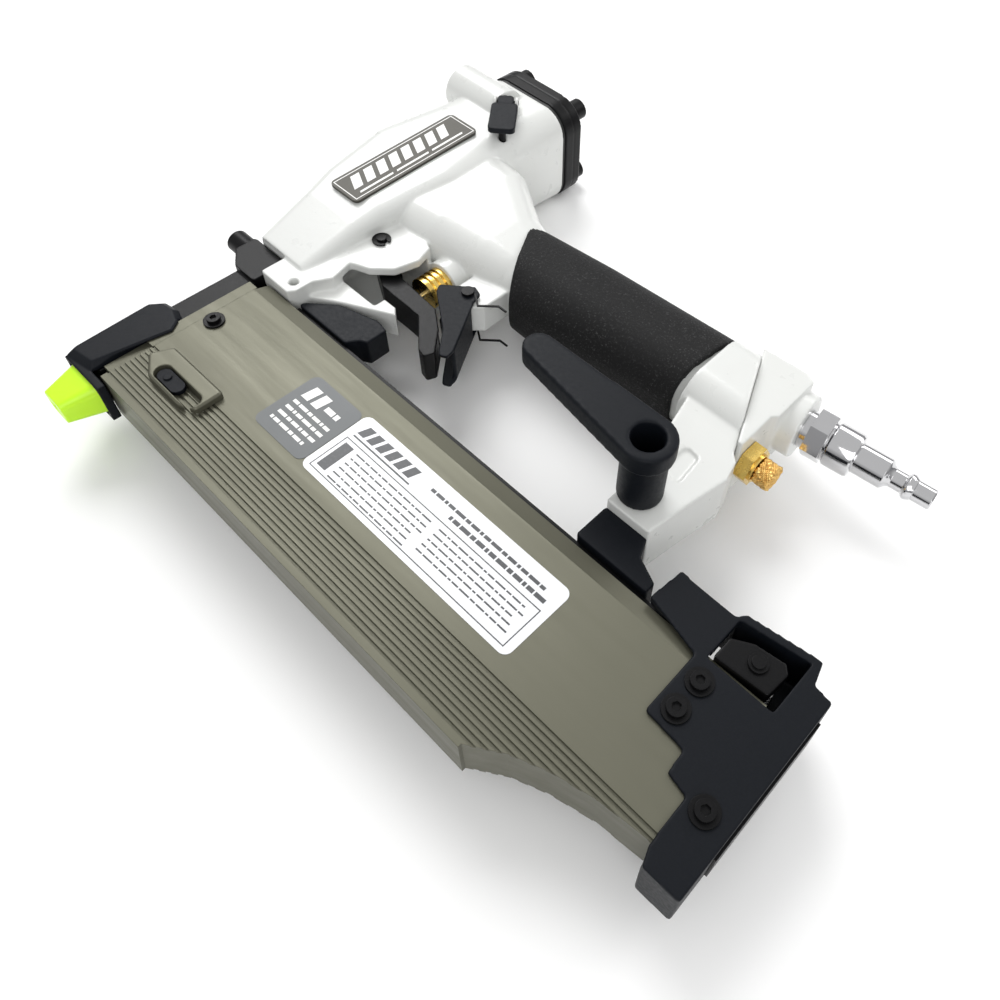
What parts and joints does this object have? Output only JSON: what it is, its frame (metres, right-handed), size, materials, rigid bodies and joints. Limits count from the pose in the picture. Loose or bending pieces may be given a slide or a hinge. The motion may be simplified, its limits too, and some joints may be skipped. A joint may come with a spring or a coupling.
{
  "type": "pneumatic nail gun",
  "caption": "Pneumatic pin and brad nailer with a long side-opening magazine, cast body, cushioned grip, swinging belt hook, exhaust muffler and quick-connect air plug",
  "frame": {"origin": "centre of the footprint, at the lowest point of the tool as it lies on its right side", "axes": "+X runs back along the magazine from the nose to the tail, +Y runs up the driver axis from the nose to the cylinder cap, +Z points out of the tool's left side, up as it lies"},
  "size_m": [0.291, 0.25, 0.0666],
  "materials": {
    "white_casting": "gloss",
    "black_plastic": "satin",
    "black_steel": "satin",
    "olive_aluminium": "satin anodised",
    "taupe_plate": "matte",
    "label_film": "gloss",
    "grey_film": "gloss",
    "grip_rubber": "matte",
    "lime_rubber": "satin",
    "brass": "machined",
    "sintered_bronze": "sintered",
    "chrome": "mirror",
    "steel": "ground",
    "seal_rubber": "matte",
    "bumper_rubber": "matte"
  },
  "bodies": {
    "housing": {"body_casting": "white_casting", "rear_casting": "white_casting", "end_cap": "white_casting", "grip_sleeve": "grip_rubber", "nameplate": "taupe_plate", "cap_gasket": "seal_rubber", "cylinder_cap": "black_steel", "cap_screws": "black_steel", "duster_nozzle": "brass", "duster_pin": "black_steel", "hook_screw": "black_steel", "muffler_base": "brass", "muffler_core": "sintered_bronze", "plug_adapter": "chrome", "cylinder_sleeve": "steel", "sleeve_seals": "seal_rubber", "bumper": "bumper_rubber", "nose_rail": "black_steel", "front_strip": "olive_aluminium", "nose_cover": "black_plastic", "front_bolt": "black_steel", "trigger_pin": "black_steel", "e_clip": "black_steel", "safety_pin": "black_steel", "safety_spring": "black_steel", "valve_cap": "brass", "fixed_rail": "black_steel", "front_bracket": "black_plastic", "rear_bracket": "black_plastic"},
    "driver": {"piston": "steel", "piston_ring": "seal_rubber", "driver_blade": "steel"},
    "head_valve": {"head_valve": "black_plastic"},
    "trigger": {"trigger": "black_steel"},
    "safety_lever": {"safety_lever": "black_plastic"},
    "valve_stem": {"valve_stem": "steel"},
    "duster_lever": {"duster_lever": "black_plastic"},
    "duster_stem": {"duster_stem": "black_steel"},
    "magazine": {"magazine_cover": "olive_aluminium", "magazine_label": "label_film", "size_sticker": "grey_film", "pocket_cover": "olive_aluminium", "tail_bracket": "black_plastic", "tail_plate": "black_steel", "tail_screws": "black_steel", "tail_washers": "black_steel", "cover_screw": "black_steel", "cover_washer": "black_steel", "nail_strip": "steel", "latch_spring": "steel"},
    "guide_slider": {"guide_slider": "black_plastic"},
    "pusher": {"pusher": "black_plastic", "pusher_spring": "steel"},
    "latch": {"latch_lever": "black_steel", "latch_pin": "black_steel"},
    "belt_hook": {"belt_hook": "black_plastic"},
    "air_plug": {"air_plug": "chrome"},
    "no_mar_tip": {"no_mar_tip": "lime_rubber"}
  },
  "joints": [
    {"name": "driver_stroke", "type": "slide", "parent": "housing", "child": "driver", "axis": [0, -1, 0], "range_m": [0, 0.063]},
    {"name": "head_valve_lift", "type": "slide", "parent": "housing", "child": "head_valve", "axis": [0, 1, 0], "range_m": [0, 0.0012], "stiffness_N_per_m": 400, "springref_m": -0.002},
    {"name": "trigger_pull", "type": "hinge", "parent": "housing", "child": "trigger", "pos_m": [-0.0935, 0.004, 0.0246], "axis": [0, 0, 1], "range_deg": [0, 5], "stiffness_Nm_per_rad": 0.5, "springref_deg": -17.19},
    {"name": "safety_swing", "type": "hinge", "parent": "housing", "child": "safety_lever", "pos_m": [-0.0501, 0.0106, 0.0246], "axis": [0, 0, 1], "range_deg": [0, 12], "stiffness_Nm_per_rad": 0.05, "springref_deg": -22.92},
    {"name": "valve_stem_travel", "type": "slide", "parent": "housing", "child": "valve_stem", "axis": [0, 1, 0], "range_m": [0, 0.0024]},
    {"name": "duster_press", "type": "hinge", "parent": "housing", "child": "duster_lever", "pos_m": [-0.1115, 0.0906, 0.0532], "axis": [0.76, 0.65, 0], "range_deg": [0, 5], "stiffness_Nm_per_rad": 0.2, "springref_deg": -17.19},
    {"name": "duster_stem_travel", "type": "slide", "parent": "housing", "child": "duster_stem", "axis": [0, 0, -1], "range_m": [0, 0.0017]},
    {"name": "magazine_slide", "type": "slide", "parent": "housing", "child": "magazine", "axis": [1, 0, 0], "range_m": [0, 0.1]},
    {"name": "guide_slide", "type": "slide", "parent": "magazine", "child": "guide_slider", "axis": [1, 0, 0], "range_m": [0, 0.009]},
    {"name": "pusher_slide", "type": "slide", "parent": "magazine", "child": "pusher", "axis": [1, 0, 0], "range_m": [0, 0.076], "stiffness_N_per_m": 20, "springref_m": -0.15},
    {"name": "latch_press", "type": "hinge", "parent": "magazine", "child": "latch", "pos_m": [0.1127, -0.035, 0.032], "axis": [0, 1, 0], "range_deg": [0, 7], "stiffness_Nm_per_rad": 0.5, "springref_deg": -17.19, "deforming": ["latch_spring"]},
    {"name": "hook_swing", "type": "hinge", "parent": "housing", "child": "belt_hook", "pos_m": [0.0595, -0.014, 0.0446], "axis": [0, 0, 1], "continuous": true},
    {"name": "plug_swivel", "type": "hinge", "parent": "housing", "child": "air_plug", "pos_m": [0.09989, 0.05869, 0.0246], "axis": [0.9945, 0.1045, 0], "continuous": true},
    {"name": "tip_pull_off", "type": "slide", "parent": "housing", "child": "no_mar_tip", "axis": [0, -1, 0], "range_m": [0, 0.02]}
  ],
  "couplings": [
    {"joint": "valve_stem_travel", "follows": "trigger_pull", "m_per_rad": 0.025},
    {"joint": "duster_stem_travel", "follows": "duster_press", "m_per_rad": 0.0185}
  ]
}
